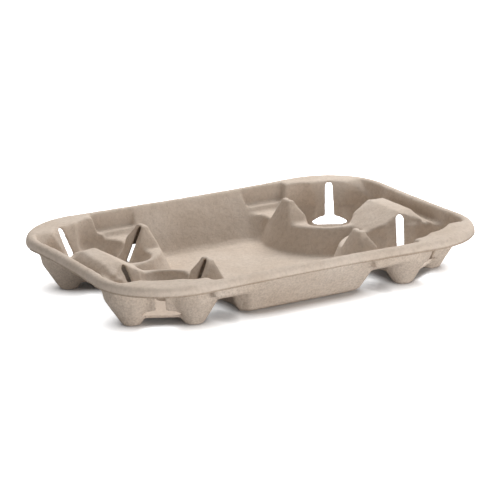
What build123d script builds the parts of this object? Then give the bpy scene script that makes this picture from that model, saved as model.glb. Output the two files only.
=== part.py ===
from build123d import *
from math import cos, radians, sin, sqrt, tan
import os

# Driving dimensions in millimetres. X runs along the length, Y across, Z up.
# The origin is the middle of the tray on the surface that it stands on.
length = 330.0
width = 244.0
height = 42.0
wall = 2.2

# Rim: a flat flange with a bevelled shoulder and a lip that hangs down all round
corner_radius = 60.0
side_pinch = 2.8
end_pinch = 1.8
lip_drop = 8.0
lip_taper = 6.0
shoulder = 2.4

# Cup wells: one in each corner, a tapered seat with three lobes that end in feet
well_to_end = 57.0
well_to_side = 64.0
grip_radius = 38.2
seat_radius = 22.6
seat_rise = 8.0
lobe_offset = 27.8
lobe_radius_mouth = 22.0
lobe_radius_waist = 18.6
lobe_radius_foot = 5.4
lobe_waist_z = 21.0

# Slots that let each well give way for a larger cup; the one towards the corner of
# the tray stands on a low window, so that it looks like an upturned T, and there the
# edge of the seat is cut straight
slot_width_top = 7.4
slot_width_foot = 8.8
inner_slot_foot = 6.8
slot_foot_rise = 4.0
slot_roof = 1.4
slot_over = 1.0
window_sill = 0.6
window_width = 36.0
window_height = 5.4
window_depth = 20.0
seat_chord = 20.2
seat_chord_width = 24.0

# Food compartment: straight end walls near the long sides, side walls that curve
# round the wells, and a nose that runs out between the two wells at each end
floor_to_side = 36.0
mouth_to_side = 9.0
floor_half = 55.0
mouth_half = 67.0
floor_reach = 60.0
nose_floor = 92.0
nose_mouth = 108.0
corner_bevel = 7.0
floor_bevel = 3.0

# Posts that rise between the compartment and the wells
post_thickness = 4.0
post_half_foot = 18.0
post_half_top = 6.0

# Lower tops inside the rim: landings, side ledges, saddles, dividers, end troughs
landing_z = 22.5
landing_end = 84.0
ledge_z = 27.0
ledge_start = 54.0
ledge_end = 88.0
ledge_width = 14.0
ledge_to_side = 12.5
ledge_slope_run = 4.0
saddle_z = 25.0
saddle_reach = 102.0
saddle_slope_run = 28.0
divider_drop = 2.0
divider_half = 45.0
trough_z = 30.0
trough_to_end = 16.0
trough_half = 70.0
trough_slope_run = 11.0
trough_end_run = 12.0
trough_flange = 8.0
trough_taper = 10.0
cut_over = 2.0

half_length = length / 2
half_width = width / 2
well_x = half_length - well_to_end
well_y = half_width - well_to_side
divider_z = height - divider_drop
floor_y = half_width - floor_to_side
mouth_y = half_width - mouth_to_side
quadrants = [(1, 1), (-1, 1), (-1, -1), (1, -1)]
outer_slot, post_slot, divider_slot = 60.0, 180.0, 300.0
slot_start = seat_radius / 2
lobe_angles = [0.0, 120.0, 240.0]


def between(level, low, high):
    """Value at a height on the straight line through two (height, value) pairs."""
    return low[1] + (level - low[0]) * (high[1] - low[1]) / (high[0] - low[0])


def bow_start(half_run, pinch, r):
    """Where a corner of radius r turns into a bowed side, from the corner's centre."""
    rise = r - pinch
    bow_radius = (half_run**2 + rise**2 - r**2) / (2 * pinch)
    share = r / (bow_radius + r)
    return share * half_run, share * (bow_radius + rise)


def outline(level, inset):
    """Plan of the rim: broad corners joined by sides that bow slightly inwards."""
    a = half_length - corner_radius
    b = half_width - corner_radius
    r = corner_radius - inset
    side_along, side_out = bow_start(a, side_pinch, r)
    end_along, end_out = bow_start(b, end_pinch, r)
    side_x, side_y = a - side_along, b + side_out
    end_x, end_y = a + end_out, b - end_along
    middle_x, middle_y = a + r - end_pinch, b + r - side_pinch
    half_way = r * sin(radians(45))
    with BuildSketch(Plane.XY.offset(level)) as plan:
        with BuildLine():
            for s in (1, -1):
                side = (s * side_x, s * side_y)
                end = (s * end_x, s * end_y)
                ThreePointArc(side, (0, s * middle_y), (-s * side_x, s * side_y))
                ThreePointArc((s * end_x, -s * end_y), (s * middle_x, 0), end)
            for sx, sy in quadrants:
                corner = (sx * (a + half_way), sy * (b + half_way))
                ThreePointArc((sx * side_x, sy * side_y), corner, (sx * end_x, sy * end_y))
        make_face()
    return plan.sketch


def well_centre(sx, sy):
    return sx * well_x, sy * well_y


def polar(sx, sy, radius, angle):
    """Point round a well, with angle 0 towards the nearest end of the tray."""
    x, y = well_centre(sx, sy)
    return x + sx * radius * cos(radians(angle)), y + sy * radius * sin(radians(angle))


def turned(centre, profile, mode=Mode.ADD):
    """Solid of revolution about an upright axis, from its (radius, height) points."""
    x, y = centre
    with BuildSketch(Plane(origin=(x, y, 0), x_dir=(1, 0, 0), z_dir=(0, -1, 0))) as half:
        with BuildLine():
            Polyline((0, profile[0][1]), *profile, (0, profile[-1][1]), close=True)
        make_face()
    revolve(half.sketch, Axis((x, y, 0), (0, 0, 1)), mode=mode)


def cup_seat(sx, sy, grow, top, mode=Mode.ADD):
    """Tapered seat that grips the side of a cup, over a raised disc."""
    side = [(seat_rise, seat_radius), (height, grip_radius)]
    levels = (seat_rise - grow, top)
    turned(well_centre(sx, sy), [(between(z, *side) + grow, z) for z in levels], mode)


def lobe(sx, sy, angle, grow, top):
    """Outward lobe of a well, which narrows down to one of its three feet."""
    foot = (lobe_radius_foot + grow, wall - grow)
    waist = (lobe_radius_waist + grow, lobe_waist_z)
    mouth = (lobe_radius_mouth + grow, top)
    turned(polar(sx, sy, lobe_offset, angle), [foot, waist, mouth])


def mound(sx, sy, grow, top):
    """Cone round a well, whose outside is the curved side of the compartment."""
    side = [(wall, floor_reach), (height, grip_radius + post_thickness)]
    levels = (-cut_over, top + cut_over)
    turned(well_centre(sx, sy), [(between(z, *side) - grow, z) for z in levels])


def slope(plane, low_z, top, low, mouth, grow):
    """Upright profile of a hollow, from its width at the foot to that at the rim."""
    ends = [between(top, (low_z, low[i]), (height, mouth[i])) for i in (0, 1)]
    foot = low_z - grow
    starts = [between(foot, (low_z, low[i]), (height, mouth[i])) for i in (0, 1)]
    with BuildSketch(plane) as profile:
        with BuildLine():
            Polyline(
                (starts[0] - grow, foot),
                (starts[1] + grow, foot),
                (ends[1] + grow, top),
                (ends[0] - grow, top),
                close=True,
            )
        make_face()
    return profile.sketch


def basin(low_z, top, low_box, mouth_box, grow, bevels=None):
    """Hollow with sloping sides, from one rectangle up to a larger one at the rim.

    Its bevels, if any, are those of the four corners and of the edges of its floor.
    """
    with BuildPart() as hollow:
        along = slope(Plane.XZ, low_z, top, low_box[:2], mouth_box[:2], grow)
        extrude(along, width, both=True)
        across = slope(Plane.YZ, low_z, top, low_box[2:], mouth_box[2:], grow)
        extrude(across, length, both=True, mode=Mode.INTERSECT)
        if bevels:
            spread = grow * (2 - sqrt(2))
            level = hollow.edges().filter_by(GeomType.LINE).group_by(Axis.Z)
            chamfer(level[1], bevels[0] + spread)
            chamfer(hollow.faces().sort_by(Axis.Z)[0].edges(), bevels[1] + spread)
    return hollow.part


def mirrored(sign, low, high):
    """Range on one side of the middle, in rising order."""
    return sorted((sign * low, sign * high))


def long_wall(level):
    """Distance of the compartment's long wall from the middle, at a height."""
    return between(level, (wall, floor_y), (height, mouth_y))


def compartment(grow, top):
    """Food compartment, less the mounds of the four wells."""
    low = (-floor_half, floor_half, -floor_y, floor_y)
    mouth = (-mouth_half, mouth_half, -mouth_y, mouth_y)
    room = basin(wall, top, low, mouth, grow, (corner_bevel, floor_bevel))
    nose_y = well_y + post_half_foot
    low = (-nose_floor, nose_floor, -nose_y, nose_y)
    mouth = (-nose_mouth, nose_mouth, -nose_y, nose_y)
    nose = basin(wall, top, low, mouth, grow)
    with BuildPart() as mounds:
        for sx, sy in quadrants:
            mound(sx, sy, grow, top)
    with BuildPart() as space:
        add([room, nose])
        add(mounds.part, mode=Mode.SUBTRACT)
    return space.part


def landing(sx, sy, grow, top):
    """Level top beside a post, between the compartment and the mouth of a lobe."""
    low_y = mirrored(sy, well_y + post_half_foot, long_wall(landing_z))
    mouth_ys = mirrored(sy, well_y + post_half_top, mouth_y)
    low = (*mirrored(sx, 0, landing_end), *low_y)
    mouth = (*mirrored(sx, 0, landing_end + ledge_slope_run), *mouth_ys)
    return basin(landing_z, top, low, mouth, grow)


def ledge(sx, sy, grow, top):
    """Narrow step along a long side, behind a landing."""
    outer = half_width - ledge_to_side
    low = (*mirrored(sx, ledge_start, ledge_end), *mirrored(sy, outer - ledge_width, outer))
    start, end = ledge_start - ledge_slope_run, ledge_end + ledge_slope_run
    inner = outer - ledge_width - ledge_slope_run
    mouth = (*mirrored(sx, start, end), *mirrored(sy, inner, mouth_y))
    return basin(ledge_z, top, low, mouth, grow)


def saddle(grow, top):
    """Low pass from one end of the compartment's nose up to each divider."""
    low_y = well_y - between(saddle_z, (landing_z, post_half_foot), (height, post_half_top))
    high_x = saddle_reach + saddle_slope_run
    high_y = well_y - post_half_top
    low = (-saddle_reach, saddle_reach, -low_y, low_y)
    return basin(saddle_z, top, low, (-high_x, high_x, -high_y, high_y), grow)


def divider(grow, top):
    """Space over the dividers, which end a little below the rim."""
    x = half_length - trough_to_end
    box = (-x, x, -divider_half, divider_half)
    return basin(divider_z, top, box, box, grow)


def trough(sx, grow, top):
    """Shallow dip along the end of the tray, whose outer wall follows the rim."""
    start = half_length - trough_to_end
    low = (*mirrored(sx, start, half_length), -trough_half, trough_half)
    high_y = trough_half + trough_end_run
    mouth = (*mirrored(sx, start - trough_slope_run, half_length), -high_y, high_y)
    box = basin(trough_z, top, low, mouth, grow)
    foot = trough_z - grow
    inset = trough_flange + (height - foot) * tan(radians(trough_taper)) - grow
    with BuildPart() as dip:
        extrude(outline(foot, inset), top - foot, taper=-trough_taper)
        add(box, mode=Mode.INTERSECT)
    return dip.part


def basins(grow, top):
    """Every hollow of the tray: its true size with grow 0, its outer skin with grow wall."""
    spaces = [compartment(grow, top), saddle(grow, top), divider(grow, top)]
    spaces += [trough(sx, grow, top) for sx in (1, -1)]
    spaces += [landing(sx, sy, grow, top) for sx, sy in quadrants]
    spaces += [ledge(sx, sy, grow, top) for sx, sy in quadrants]
    with BuildPart() as block:
        add(spaces)
        for sx, sy in quadrants:
            cup_seat(sx, sy, grow, top)
            for angle in lobe_angles:
                lobe(sx, sy, angle, grow, top)
    return block.part


def radial_plane(sx, sy, angle, radius):
    """Upright plane at a radius of a well that faces outwards at an angle."""
    facing = Vector(sx * cos(radians(angle)), sy * sin(radians(angle)), 0)
    x, y = polar(sx, sy, radius, angle)
    return Plane(origin=(x, y, 0), x_dir=Vector(0, 0, 1).cross(facing), z_dir=facing)


def slot_profile(plane, top_z, foot_width):
    """Tapered slot with a round top, seen along a radius."""
    foot_z = seat_rise + slot_foot_rise
    half = slot_width_top / 2
    half_foot = foot_width / 2
    with BuildSketch(plane) as profile:
        with BuildLine():
            Line((-half_foot, foot_z), (-half, top_z - half))
            ThreePointArc((-half, top_z - half), (0, top_z), (half, top_z - half))
            Line((half, top_z - half), (half_foot, foot_z))
            Line((half_foot, foot_z), (-half_foot, foot_z))
        make_face()
    return profile.sketch


def window_profile(plane):
    """Low arched window at the foot of a slot, seen along a radius."""
    sill = seat_rise + window_sill
    with BuildSketch(plane) as profile:
        with BuildLine():
            left = (-window_width / 2, sill)
            right = (window_width / 2, sill)
            ThreePointArc(left, (0, sill + window_height), right)
            Line(right, left)
        make_face()
    return profile.sketch


def chord_profile(plane):
    """Straight cut through the edge of the seat, below a window."""
    low = seat_rise - wall - cut_over
    with BuildSketch(plane) as profile:
        with Locations((0, (low + seat_rise + 2 * window_sill) / 2)):
            Rectangle(seat_chord_width, seat_rise + 2 * window_sill - low)
    return profile.sketch


def outer_cut(sx, sy):
    """Upturned T towards the corner of the tray: a slot over a window."""
    plane = radial_plane(sx, sy, outer_slot, slot_start)
    slot = slot_profile(plane, height - slot_roof, slot_width_foot)
    with BuildPart() as cut:
        extrude(slot, grip_radius + wall - slot_start)
        extrude(window_profile(plane), window_depth)
        extrude(chord_profile(radial_plane(sx, sy, outer_slot, seat_chord)), window_depth / 2)
    return cut.part


def inner_slots(sx, sy):
    """Slots in the post and in the divider, no deeper than the wall that they open."""
    with BuildPart() as cut:
        for angle, roof in ((post_slot, height), (divider_slot, divider_z)):
            plane = radial_plane(sx, sy, angle, slot_start)
            extrude(slot_profile(plane, roof - slot_roof, inner_slot_foot), grip_radius)
        cup_seat(sx, sy, wall + slot_over, height, Mode.INTERSECT)
    return cut.part


hollow = basins(0.0, height + cut_over)
skin = basins(wall, height)
cuts = [outer_cut(sx, sy) for sx, sy in quadrants]
cuts += [inner_slots(sx, sy) for sx, sy in quadrants]

with BuildPart() as rim_core:
    extrude(outline(height - lip_drop, wall), lip_drop - wall, taper=lip_taper)
    extrude(rim_core.faces().sort_by(Axis.Z)[0], cut_over, dir=(0, 0, -1))

with BuildPart() as carrier_tray:
    extrude(outline(height - lip_drop, 0), lip_drop, taper=lip_taper)
    chamfer(carrier_tray.faces().sort_by(Axis.Z)[-1].edges(), shoulder)
    add(rim_core.part, mode=Mode.SUBTRACT)
    add(skin)
    add(hollow, mode=Mode.SUBTRACT)
    add(cuts, mode=Mode.SUBTRACT)

carrier_tray.part.label = "carrier_tray"

os.makedirs("parts", exist_ok=True)
export_step(carrier_tray.part, "parts/carrier_tray.step")
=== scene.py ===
import math

import bpy
import numpy as np
from mathutils import Matrix, Vector


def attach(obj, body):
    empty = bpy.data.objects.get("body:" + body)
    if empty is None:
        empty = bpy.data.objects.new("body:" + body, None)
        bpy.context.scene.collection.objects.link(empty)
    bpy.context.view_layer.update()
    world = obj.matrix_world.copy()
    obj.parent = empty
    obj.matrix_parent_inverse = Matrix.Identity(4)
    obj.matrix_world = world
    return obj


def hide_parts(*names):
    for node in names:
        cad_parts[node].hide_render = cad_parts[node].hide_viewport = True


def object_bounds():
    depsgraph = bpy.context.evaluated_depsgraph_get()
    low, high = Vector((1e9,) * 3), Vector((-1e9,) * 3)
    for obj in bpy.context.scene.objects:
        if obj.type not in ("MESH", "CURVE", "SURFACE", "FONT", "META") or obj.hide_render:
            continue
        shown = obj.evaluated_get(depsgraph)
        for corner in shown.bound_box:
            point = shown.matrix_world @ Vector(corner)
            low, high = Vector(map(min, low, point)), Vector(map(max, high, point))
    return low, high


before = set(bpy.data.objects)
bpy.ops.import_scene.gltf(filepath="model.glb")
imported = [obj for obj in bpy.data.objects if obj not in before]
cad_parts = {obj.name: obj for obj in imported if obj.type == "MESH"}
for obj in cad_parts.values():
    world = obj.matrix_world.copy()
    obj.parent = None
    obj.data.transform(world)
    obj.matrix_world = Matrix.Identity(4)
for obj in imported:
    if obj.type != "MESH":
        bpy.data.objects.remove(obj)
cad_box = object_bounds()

# Everything is in metres, in the frame of the solids: X along the length of the
# tray, Y across it, Z up, with the origin in the middle of the standing surface.
VOXEL = 0.0009
SMOOTH_STEPS, SMOOTH_SHARE = 18, 0.5
TRIANGLES = 180000

# Share of the rounding that the cut edges and the edge of the lip are spared, and the
# heights up to which soles are held down: against the rounding, and against the warp
CUT_KEPT, LIP_KEPT = 0.92, 0.8
SOLE_HOLD, WARP_HOLD = 0.0016, 0.004

# Waves in the sheet: seed, number of waves, shortest and longest wave, and height.
# The soles take only a share of the dents and lumps.
WARP = (3, 14, 0.05, 0.16, 0.00022)
DENTS = (5, 60, 0.008, 0.026, 0.00007)
LUMPS = (8, 90, 0.0035, 0.008, 0.00003)
SOLE_DENTS = 0.3

# Half sizes of the rim, the radius of its corners, and the painted shadow line along the
# lower edge of its lip, as (dark, plain) values: inwards from that outline, upwards in
# height, and downwards
HALF_LENGTH, HALF_WIDTH, CORNER = 0.165, 0.122, 0.060
SHADOW_LINE_INWARDS = (0.0034, 0.0042)
SHADOW_LINE_UPWARDS = (0.0349, 0.0361)
SHADOW_LINE_DOWNWARDS = (0.0334, 0.0328)

# Middle of a cup well, the angles of its slots, of which the first has a window, and
# how far each edge of a slot is drawn in
WELL_X, WELL_Y = 0.108, 0.058
SLOT_ANGLES = (60.0, 180.0, 300.0)
SLOT_SHRINK = 0.0006

# Zones of the sheet, as (low, high, blur). The first three are given along a slot, to
# the side of it and in height, the last one inwards from the rim and in height.
SLOT_ZONE = ((0.020, 0.042, 0.002), (0.0, 0.0055, 0.003), (0.012, 0.041, 0.002))
WINDOW_ZONE = ((0.018, 0.030, 0.003), (0.0, 0.018, 0.003), (0.006, 0.0145, 0.002))
SHRINK_ZONE = ((0.018, 0.042, 0.004), (0.0, 0.0060, 0.006), (0.0145, 0.038, 0.003))
LIP_ZONE = ((-0.001, 0.0060, 0.001), (0.033, 0.0365, 0.002))

# The fall of the divider ends: where it starts along Y, how long it runs, its slope,
# its range along Y as (low, high, blur), its weight along X, the height where it sets
# in, and how much higher it is whole
FALL_START, FALL_RUN, FALL_SLOPE = 0.021, 0.020, 0.31
FALL_Y = (0.0, 0.045, 0.005)
FALL_X, FALL_WEIGHT = (0.122, 0.133, 0.144, 0.148), (0.0, 1.0, 1.0, 0.0)
FALL_LOW, FALL_RISE = 0.030, 0.007

# The floor: light added to its look so that it is seen as white, how far from the tray
# it shows the tray's shadow, how far it reaches, and how far below the tray it lies
GLOW = 0.95
SHADOW_REACH = 0.024
FLOOR_REACH, FLOOR_GAP = 4.0, 0.0002

# Feet round a well, and the limits of the compartment's flat sole, a little inside
# its edges: from the well's middle, along X, along Y, and of the sum of both
FOOT_ANGLES = (0.0, 120.0, 240.0)
FOOT_OFFSET, FOOT_RADIUS = 0.0278, 0.0036
SOLE_TO_WELL, SOLE_X, SOLE_Y, SOLE_CORNER = 0.0640, 0.078, 0.0790, 0.1260

# Camera: azimuth, elevation and roll in degrees, distance to the aim point, focal
# length in pixels of an image of IMAGE pixels, width of the sensor in millimetres
AZIMUTH, ELEVATION, ROLL = -27.84, 16.10, -2.03
DISTANCE, FOCAL, IMAGE = 2.1097, 2500.1, 500.0
SENSOR = 36.0
AIM = Vector((0.0359, 0.0682, 0.0))

# Strength of the sky, the lamps as (place, (width, height), watts), and their aim
SKY = 0.31
KEY = ((0.66, 0.66, 1.15), (0.9, 0.9), 23.0)
BOUNCE = ((0.05, -0.75, 0.07), (0.9, 0.12), 3.1)
LAMP_AIM = Vector((0.0, 0.0, 0.02))


def tree(name):
    """New material with an empty node tree and its output node."""
    material = bpy.data.materials.new(name)
    material.use_nodes = True
    nodes = material.node_tree.nodes
    nodes.clear()
    output = nodes.new("ShaderNodeOutputMaterial")
    return material, nodes, material.node_tree.links, output


def noise(nodes, links, vector, scale, detail, rough=0.5, distort=0.0):
    """Noise texture on a vector, returned as its factor socket."""
    node = nodes.new("ShaderNodeTexNoise")
    node.inputs["Scale"].default_value = scale
    node.inputs["Detail"].default_value = detail
    node.inputs["Roughness"].default_value = rough
    node.inputs["Distortion"].default_value = distort
    links.new(vector, node.inputs["Vector"])
    return node.outputs["Fac"]


def ramp(nodes, links, factor, stops):
    """Colour ramp with (position, colour) stops, returned as its colour socket."""
    node = nodes.new("ShaderNodeValToRGB")
    elements = node.color_ramp.elements
    while len(elements) < len(stops):
        elements.new(0.5)
    for element, (position, colour) in zip(elements, stops):
        element.position = position
        element.color = (*colour, 1.0)
    links.new(factor, node.inputs["Fac"])
    return node.outputs["Color"]


def blend_colours(nodes, links, kind, amount, first, second):
    """Mix of two colour sockets by a fixed or linked amount."""
    node = nodes.new("ShaderNodeMix")
    node.data_type = "RGBA"
    node.blend_type = kind
    if isinstance(amount, float):
        node.inputs[0].default_value = amount
    else:
        links.new(amount, node.inputs[0])
    links.new(first, node.inputs[6])
    links.new(second, node.inputs[7])
    return node.outputs[2]


def maths(nodes, links, operation, first, second=0.0):
    """Math node on a socket and, where it takes two, a number or second socket."""
    node = nodes.new("ShaderNodeMath")
    node.operation = operation
    links.new(first, node.inputs[0])
    if isinstance(second, float):
        node.inputs[1].default_value = second
    else:
        links.new(second, node.inputs[1])
    return node.outputs[0]


def fade(nodes, links, value, start, end):
    """1 at a start value, falling smoothly to 0 at an end value, and held past both."""
    node = nodes.new("ShaderNodeMapRange")
    node.interpolation_type = "SMOOTHSTEP"
    node.inputs["From Min"].default_value = start
    node.inputs["From Max"].default_value = end
    node.inputs["To Min"].default_value = 1.0
    node.inputs["To Max"].default_value = 0.0
    links.new(value, node.inputs["Value"])
    return node.outputs["Result"]


def seeing_rays(nodes, links):
    """1 for camera, glossy and transmission rays, and 0 for the rays that light things."""
    path = nodes.new("ShaderNodeLightPath").outputs
    seen = maths(nodes, links, "MAXIMUM", path["Is Camera Ray"], path["Is Glossy Ray"])
    return maths(nodes, links, "MAXIMUM", seen, path["Is Transmission Ray"])


def lip_shadow_line(nodes, links, place):
    """1 on a band along the lower edge of the lip, where a shadow line is painted."""
    split = nodes.new("ShaderNodeSeparateXYZ")
    links.new(place, split.inputs[0])
    reach = []
    for axis, half in (("X", HALF_LENGTH), ("Y", HALF_WIDTH)):
        size = maths(nodes, links, "ABSOLUTE", split.outputs[axis])
        past = maths(nodes, links, "SUBTRACT", size, half - CORNER)
        past = maths(nodes, links, "MAXIMUM", past, 0.0)
        reach.append(maths(nodes, links, "POWER", past, 2.0))
    out = maths(nodes, links, "SQRT", maths(nodes, links, "ADD", *reach))
    outer = fade(nodes, links, out, *(CORNER - inset for inset in SHADOW_LINE_INWARDS))
    below = fade(nodes, links, split.outputs["Z"], *SHADOW_LINE_UPWARDS)
    above = fade(nodes, links, split.outputs["Z"], *SHADOW_LINE_DOWNWARDS)
    line = maths(nodes, links, "MULTIPLY", outer, below)
    return maths(nodes, links, "MULTIPLY", line, above)


def pulp_material():
    """Matte moulded fibre: cloudy tan, fine fibres and flecks, coarser on the outside."""
    material, nodes, links, output = tree("pulp_fibre")
    place = nodes.new("ShaderNodeTexCoord").outputs["Object"]
    shader = nodes.new("ShaderNodeBsdfPrincipled")
    shader.inputs["Roughness"].default_value = 0.93
    shader.inputs["Specular IOR Level"].default_value = 0.25
    links.new(shader.outputs[0], output.inputs["Surface"])

    # The outside was the screen side of the mould: its walls face down a little
    facing = nodes.new("ShaderNodeSeparateXYZ")
    links.new(nodes.new("ShaderNodeNewGeometry").outputs["Normal"], facing.inputs[0])
    outside = nodes.new("ShaderNodeMapRange")
    outside.interpolation_type = "SMOOTHSTEP"
    outside.inputs["From Min"].default_value = 0.25
    outside.inputs["From Max"].default_value = -0.20
    links.new(facing.outputs["Z"], outside.inputs["Value"])
    outside = outside.outputs["Result"]

    # Clouds of tone, the felted surface, and the print of the screen on the outside
    clouds = noise(nodes, links, place, 26.0, 4.0, 0.55)
    base = ramp(nodes, links, clouds, [
        (0.30, (0.570, 0.472, 0.385)),
        (0.52, (0.618, 0.522, 0.436)),
        (0.72, (0.655, 0.566, 0.484)),
    ])
    felt = noise(nodes, links, place, 340.0, 6.0, 0.65, 0.6)
    felt_colour = ramp(nodes, links, felt, [
        (0.30, (0.88, 0.87, 0.86)),
        (0.50, (1.0, 1.0, 1.0)),
        (0.70, (1.08, 1.08, 1.08)),
    ])
    colour = blend_colours(nodes, links, "MULTIPLY", 1.0, base, felt_colour)
    screen = noise(nodes, links, place, 620.0, 3.0, 0.6)
    screen_colour = ramp(nodes, links, screen, [
        (0.36, (0.86, 0.85, 0.84)),
        (0.52, (1.0, 1.0, 1.0)),
        (0.66, (1.08, 1.08, 1.08)),
    ])
    colour = blend_colours(nodes, links, "MULTIPLY", outside, colour, screen_colour)

    # Single darker fibres
    stretch = nodes.new("ShaderNodeMapping")
    stretch.inputs["Scale"].default_value = (1.0, 1.0, 0.22)
    stretch.inputs["Rotation"].default_value = (0.35, 0.2, 0.4)
    links.new(place, stretch.inputs["Vector"])
    fibres = noise(nodes, links, stretch.outputs[0], 900.0, 3.0, 0.6, 2.2)
    fleck = ramp(nodes, links, fibres, [
        (0.62, (1.0, 1.0, 1.0)),
        (0.74, (0.80, 0.76, 0.72)),
    ])
    colour = blend_colours(nodes, links, "MULTIPLY", 0.8, colour, fleck)

    # Painted shade: the colour is darkened in creases, by how closely the sheet closes
    # round them, and a painted shadow line runs along the lower edge of the lip
    crease_shade = nodes.new("ShaderNodeAmbientOcclusion")
    crease_shade.samples = 8
    crease_shade.only_local = True
    crease_shade.inputs["Distance"].default_value = 0.014
    crease_shade_colour = ramp(nodes, links, crease_shade.outputs["AO"], [
        (0.40, (0.50, 0.46, 0.42)),
        (0.80, (1.0, 1.0, 1.0)),
    ])
    colour = blend_colours(nodes, links, "MULTIPLY", 0.85, colour, crease_shade_colour)
    # Painted shadow line along the lower edge of the lip, where it meets the wall below
    lip_shadow_colour = ramp(nodes, links, lip_shadow_line(nodes, links, place), [
        (0.0, (1.0, 1.0, 1.0)),
        (1.0, (0.66, 0.62, 0.58)),
    ])
    colour = blend_colours(nodes, links, "MULTIPLY", 1.0, colour, lip_shadow_colour)
    links.new(colour, shader.inputs["Base Color"])

    # Height of the grain: lumps, felt, fibres and, on the outside, the screen
    grain = maths(nodes, links, "MULTIPLY", felt, 0.7)
    lumps = noise(nodes, links, place, 120.0, 3.0, 0.5)
    grain = maths(nodes, links, "ADD", grain, lumps)
    fine = maths(nodes, links, "MULTIPLY", fibres, 0.35)
    grain = maths(nodes, links, "ADD", grain, fine)
    coarse = maths(nodes, links, "MULTIPLY", screen, outside)
    coarse = maths(nodes, links, "MULTIPLY", coarse, 1.3)
    grain = maths(nodes, links, "ADD", grain, coarse)
    bump = nodes.new("ShaderNodeBump")
    bump.inputs["Strength"].default_value = 0.6
    bump.inputs["Distance"].default_value = 0.0009
    links.new(grain, bump.inputs["Height"])
    links.new(bump.outputs[0], shader.inputs["Normal"])
    return material


def wave_field(points, seed, count, shortest, longest, height):
    """Smooth seeded random field on points: a sum of plane waves of about a height."""
    rng = np.random.default_rng(seed)
    total = np.zeros(len(points))
    for _ in range(count):
        direction = rng.normal(size=3)
        direction /= np.linalg.norm(direction)
        length = math.exp(rng.uniform(math.log(shortest), math.log(longest)))
        phase = rng.uniform(0, 2 * math.pi)
        total += np.sin(points @ direction * (2 * math.pi / length) + phase)
    return total / math.sqrt(count) * height


def near(value, low, high, blur):
    """1 inside a range, falling to 0 over a distance outside it."""
    outside = np.maximum(low - value, value - high)
    return np.clip(1.0 - outside / blur, 0.0, 1.0)


def in_zone(zone, *values):
    """1 where each value is in its range of a zone, falling to 0 outside."""
    share = 1.0
    for value, (low, high, blur) in zip(values, zone):
        share = share * near(value, low, high, blur)
    return share


def slot_frame(points, angle):
    """Distance from the middle of the well along a slot, and to the side of it."""
    x = np.abs(points[:, 0]) - WELL_X
    y = np.abs(points[:, 1]) - WELL_Y
    turn = math.radians(angle)
    out = x * math.cos(turn) + y * math.sin(turn)
    return out, y * math.cos(turn) - x * math.sin(turn)


def cut_edges(points):
    """1 at the slots and windows, whose cut edges stay crisp, and 0 elsewhere."""
    found = np.zeros(len(points))
    for angle in SLOT_ANGLES:
        out, side = slot_frame(points, angle)
        place = (out, np.abs(side), points[:, 2])
        found = np.maximum(found, in_zone(SLOT_ZONE, *place))
        if angle == SLOT_ANGLES[0]:
            found = np.maximum(found, in_zone(WINDOW_ZONE, *place))
    return found


def close_slots(points):
    """Draws both edges of each slot in a little, as pulp shrinks when it dries."""
    x_side, y_side = np.sign(points[:, 0]), np.sign(points[:, 1])

    # All the frames come first, because the loop moves the points
    frames = [slot_frame(points, angle) for angle in SLOT_ANGLES]
    for angle, (out, side) in zip(SLOT_ANGLES, frames):
        turn = math.radians(angle)
        share = in_zone(SHRINK_ZONE, out, np.abs(side), points[:, 2])
        move = -np.sign(side) * SLOT_SHRINK * share
        points[:, 0] -= x_side * math.sin(turn) * move
        points[:, 1] += y_side * math.cos(turn) * move


def lower_divider_ends(points):
    """Lets the top of each divider fall away towards both ends of its ridge."""
    x, y, z = np.abs(points[:, 0]), np.abs(points[:, 1]), points[:, 2]
    fall = np.clip(y - FALL_START, 0.0, FALL_RUN) * near(y, *FALL_Y)
    fall *= np.interp(x, FALL_X, FALL_WEIGHT)
    points[:, 2] -= FALL_SLOPE * fall * np.clip((z - FALL_LOW) / FALL_RISE, 0.0, 1.0)


def lip_edge(points):
    """1 at the lower edge of the lip round the rim, and 0 elsewhere."""
    x = np.maximum(np.abs(points[:, 0]) - (HALF_LENGTH - CORNER), 0.0)
    y = np.maximum(np.abs(points[:, 1]) - (HALF_WIDTH - CORNER), 0.0)
    return in_zone(LIP_ZONE, CORNER - np.hypot(x, y), points[:, 2])


def relax(points, edges, steps, share):
    """Draws each point towards the mean of its neighbours, by its share, step by step."""
    count = len(points)
    first, second = edges[:, 0], edges[:, 1]
    degree = np.bincount(edges.ravel(), minlength=count)
    for _ in range(steps):
        for axis in range(3):
            column = points[:, axis].copy()
            total = np.bincount(first, column[second], count)
            total += np.bincount(second, column[first], count)
            points[:, axis] += (total / degree - column) * share[:, axis]


def read_vertices(mesh, field):
    """One vector of each vertex of a mesh, such as its place or its normal."""
    values = np.empty(len(mesh.vertices) * 3, np.float32)
    mesh.vertices.foreach_get(field, values)
    return values.reshape(-1, 3).astype(float)


def place_vertices(mesh, points):
    """Moves the vertices of a mesh to the points."""
    mesh.vertices.foreach_set("co", points.astype(np.float32).ravel())
    mesh.update()


def fit_box(mesh, low, high):
    """Stretches each axis of a mesh a little, so that it fills the solid's box."""
    points = read_vertices(mesh, "co")
    found_low, found_high = points.min(axis=0), points.max(axis=0)
    points = low + (points - found_low) * (high - low) / (found_high - found_low)
    place_vertices(mesh, points)


def apply_modifiers(piece):
    """Gives an object the mesh that its modifiers make, and takes them off."""
    graph = bpy.context.evaluated_depsgraph_get()
    mesh = bpy.data.meshes.new_from_object(piece.evaluated_get(graph))
    piece.modifiers.clear()
    piece.data = mesh
    return mesh


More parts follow.
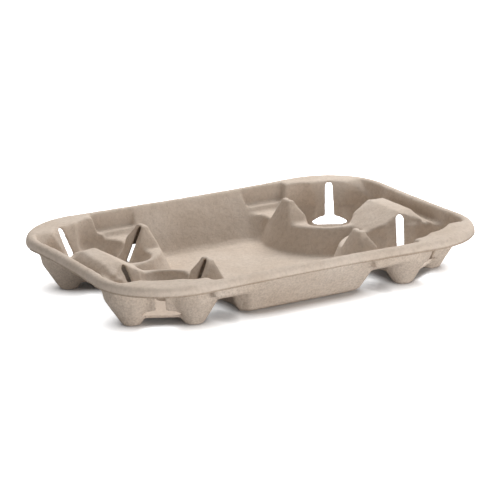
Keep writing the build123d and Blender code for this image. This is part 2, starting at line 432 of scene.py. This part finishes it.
def round_edges(mesh):
    """Relaxes a mesh, less at cut edges and soles, and returns its new points."""
    points = read_vertices(mesh, "co")
    edges = np.empty(len(mesh.edges) * 2, np.int32)
    mesh.edges.foreach_get("vertices", edges)
    share = np.full((len(points), 3), SMOOTH_SHARE)
    share *= (1.0 - CUT_KEPT * cut_edges(points))[:, None]
    share *= (1.0 - LIP_KEPT * lip_edge(points))[:, None]
    share[:, 2] *= np.clip(points[:, 2] / SOLE_HOLD, 0.0, 1.0)
    relax(points, edges.reshape(-1, 2), SMOOTH_STEPS, share)
    place_vertices(mesh, points)
    return points


def make_uneven(points, normals, ground):
    """Warps the sheet slightly, and gives its surface shallow dents and lumps."""
    warp = wave_field(points, *WARP)
    dents = wave_field(points, *DENTS)
    lumps = wave_field(points, *LUMPS)
    free = np.clip((points[:, 2] - ground) / WARP_HOLD, 0.0, 1.0)
    depth = (dents + lumps) * (SOLE_DENTS + (1.0 - SOLE_DENTS) * free)
    points += normals * depth[:, None]
    points[:, 2] += warp * free


def moulded_mesh(source, name):
    """The sheet as moulding leaves it: every edge rounded, and faces a little uneven."""
    piece = bpy.data.objects.new(name, source.data.copy())
    bpy.context.scene.collection.objects.link(piece)
    piece.data.materials.clear()
    low, high = (np.array(corner) for corner in cad_box)

    weld = piece.modifiers.new("weld", "WELD")
    weld.merge_threshold = 0.00001
    remesh = piece.modifiers.new("remesh", "REMESH")
    remesh.mode = "VOXEL"
    remesh.voxel_size = VOXEL
    mesh = apply_modifiers(piece)

    points = round_edges(mesh)
    normals = read_vertices(mesh, "normal")
    close_slots(points)
    lower_divider_ends(points)
    make_uneven(points, normals, low[2])
    place_vertices(mesh, points)

    decimate = piece.modifiers.new("decimate", "DECIMATE")
    decimate.ratio = min(1.0, TRIANGLES / (2 * len(mesh.polygons)))
    final = apply_modifiers(piece)
    final.name = name
    final.polygons.foreach_set("use_smooth", [True] * len(final.polygons))
    fit_box(final, low, high)
    return piece


def distance_to(nodes, links, spot, x, y):
    """Distance on the floor from a spot to a point."""
    node = nodes.new("ShaderNodeVectorMath")
    node.operation = "DISTANCE"
    links.new(spot, node.inputs[0])
    node.inputs[1].default_value = (x, y, 0.0)
    return node.outputs["Value"]


def standing_area(nodes, links):
    """1 on the floor inside the soles of the compartment and the feet, and 0 outside."""
    split = nodes.new("ShaderNodeSeparateXYZ")
    links.new(nodes.new("ShaderNodeNewGeometry").outputs["Position"], split.inputs[0])
    x = maths(nodes, links, "ABSOLUTE", split.outputs["X"])
    y = maths(nodes, links, "ABSOLUTE", split.outputs["Y"])
    join = nodes.new("ShaderNodeCombineXYZ")
    links.new(x, join.inputs[0])
    links.new(y, join.inputs[1])
    spot = join.outputs[0]

    to_well = distance_to(nodes, links, spot, WELL_X, WELL_Y)
    sole = maths(nodes, links, "GREATER_THAN", to_well, SOLE_TO_WELL)
    both = maths(nodes, links, "ADD", x, y)
    for value, limit in ((x, SOLE_X), (y, SOLE_Y), (both, SOLE_CORNER)):
        inside = maths(nodes, links, "LESS_THAN", value, limit)
        sole = maths(nodes, links, "MULTIPLY", sole, inside)
    for angle in FOOT_ANGLES:
        turn = math.radians(angle)
        foot_x = WELL_X + FOOT_OFFSET * math.cos(turn)
        foot_y = WELL_Y + FOOT_OFFSET * math.sin(turn)
        to_foot = distance_to(nodes, links, spot, foot_x, foot_y)
        foot = maths(nodes, links, "LESS_THAN", to_foot, FOOT_RADIUS)
        sole = maths(nodes, links, "MAXIMUM", sole, foot)
    return sole


def floor_piece():
    """Pale floor that shows white to the eye and keeps the tray's soft shadow."""
    material, nodes, links, output = tree("floor_white")
    diffuse = nodes.new("ShaderNodeBsdfDiffuse")
    diffuse.inputs["Color"].default_value = (0.82, 0.82, 0.83, 1.0)
    glow = nodes.new("ShaderNodeEmission")
    glow.inputs["Color"].default_value = (1.0, 1.0, 1.0, 1.0)
    strength = maths(nodes, links, "MULTIPLY", seeing_rays(nodes, links), GLOW)
    nearby = nodes.new("ShaderNodeAmbientOcclusion")
    nearby.samples = 16
    nearby.inputs["Distance"].default_value = SHADOW_REACH
    open_floor = nodes.new("ShaderNodeMapRange")
    open_floor.inputs["From Min"].default_value = 0.30
    open_floor.inputs["From Max"].default_value = 0.80
    links.new(nearby.outputs["AO"], open_floor.inputs["Value"])
    strength = maths(nodes, links, "MULTIPLY", strength, open_floor.outputs["Result"])
    links.new(strength, glow.inputs["Strength"])
    both = nodes.new("ShaderNodeAddShader")
    links.new(diffuse.outputs[0], both.inputs[0])
    links.new(glow.outputs[0], both.inputs[1])

    # From below, the floor is clear, and light comes through it to the tray's soles,
    # so that the underside can be seen
    clear = nodes.new("ShaderNodeBsdfTransparent")
    side = nodes.new("ShaderNodeMixShader")
    back = nodes.new("ShaderNodeNewGeometry").outputs["Backfacing"]
    see_through = maths(nodes, links, "MAXIMUM", back, standing_area(nodes, links))
    links.new(see_through, side.inputs[0])
    links.new(both.outputs[0], side.inputs[1])
    links.new(clear.outputs[0], side.inputs[2])
    links.new(side.outputs[0], output.inputs["Surface"])

    mesh = bpy.data.meshes.new("floor")
    turns = ((-1, -1), (1, -1), (1, 1), (-1, 1))
    corners = [(x * FLOOR_REACH, y * FLOOR_REACH, 0) for x, y in turns]
    mesh.from_pydata(corners, [], [(0, 1, 2, 3)])
    mesh.materials.append(material)
    floor = bpy.data.objects.new("floor", mesh)
    bpy.context.scene.collection.objects.link(floor)
    floor.location.z = -FLOOR_GAP
    return floor


def world_light(strength):
    """Even sky light, seen as plain white behind the floor."""
    world = bpy.data.worlds.new("studio")
    bpy.context.scene.world = world
    world.use_nodes = True
    nodes, links = world.node_tree.nodes, world.node_tree.links
    nodes.clear()
    output = nodes.new("ShaderNodeOutputWorld")
    sky = nodes.new("ShaderNodeBackground")
    sky.inputs["Color"].default_value = (1.0, 0.99, 0.98, 1.0)
    sky.inputs["Strength"].default_value = strength
    backdrop = nodes.new("ShaderNodeBackground")
    mix = nodes.new("ShaderNodeMixShader")
    links.new(seeing_rays(nodes, links), mix.inputs[0])
    links.new(sky.outputs[0], mix.inputs[1])
    links.new(backdrop.outputs[0], mix.inputs[2])
    links.new(mix.outputs[0], output.inputs["Surface"])


def area_light(name, place, size, power):
    """Soft light of a width and height, aimed at the tray."""
    data = bpy.data.lights.new(name, "AREA")
    data.shape = "RECTANGLE"
    data.size, data.size_y = size
    data.energy = power
    lamp = bpy.data.objects.new(name, data)
    bpy.context.scene.collection.objects.link(lamp)
    lamp.location = place
    aim = LAMP_AIM - Vector(place)
    lamp.rotation_euler = aim.to_track_quat("-Z", "Y").to_euler()


def photo_camera():
    """Camera at the photograph's viewing angle, distance and framing."""
    azimuth, elevation, roll = (math.radians(v) for v in (AZIMUTH, ELEVATION, ROLL))
    back = Vector((
        math.sin(azimuth) * math.cos(elevation),
        -math.cos(azimuth) * math.cos(elevation),
        math.sin(elevation),
    ))
    right = Vector((math.cos(azimuth), math.sin(azimuth), 0.0))
    up = back.cross(right)
    turned_right = math.cos(roll) * right + math.sin(roll) * up
    turned_up = math.cos(roll) * up - math.sin(roll) * right
    data = bpy.data.cameras.new("camera")
    data.sensor_width = SENSOR
    data.lens = FOCAL / IMAGE * SENSOR
    data.clip_end = 20.0
    camera = bpy.data.objects.new("camera", data)
    bpy.context.scene.collection.objects.link(camera)
    axes = Matrix((turned_right, turned_up, back)).transposed().to_4x4()
    camera.matrix_world = Matrix.Translation(AIM + back * DISTANCE) @ axes
    bpy.context.scene.camera = camera


tray = moulded_mesh(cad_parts["carrier_tray"], "tray_pulp")
tray.data.materials.append(pulp_material())
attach(tray, "root")
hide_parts("carrier_tray")

floor_piece()
world_light(SKY)
area_light("key", *KEY)
area_light("bounce", *BOUNCE)
photo_camera()
bpy.context.scene.view_settings.view_transform = "Standard"
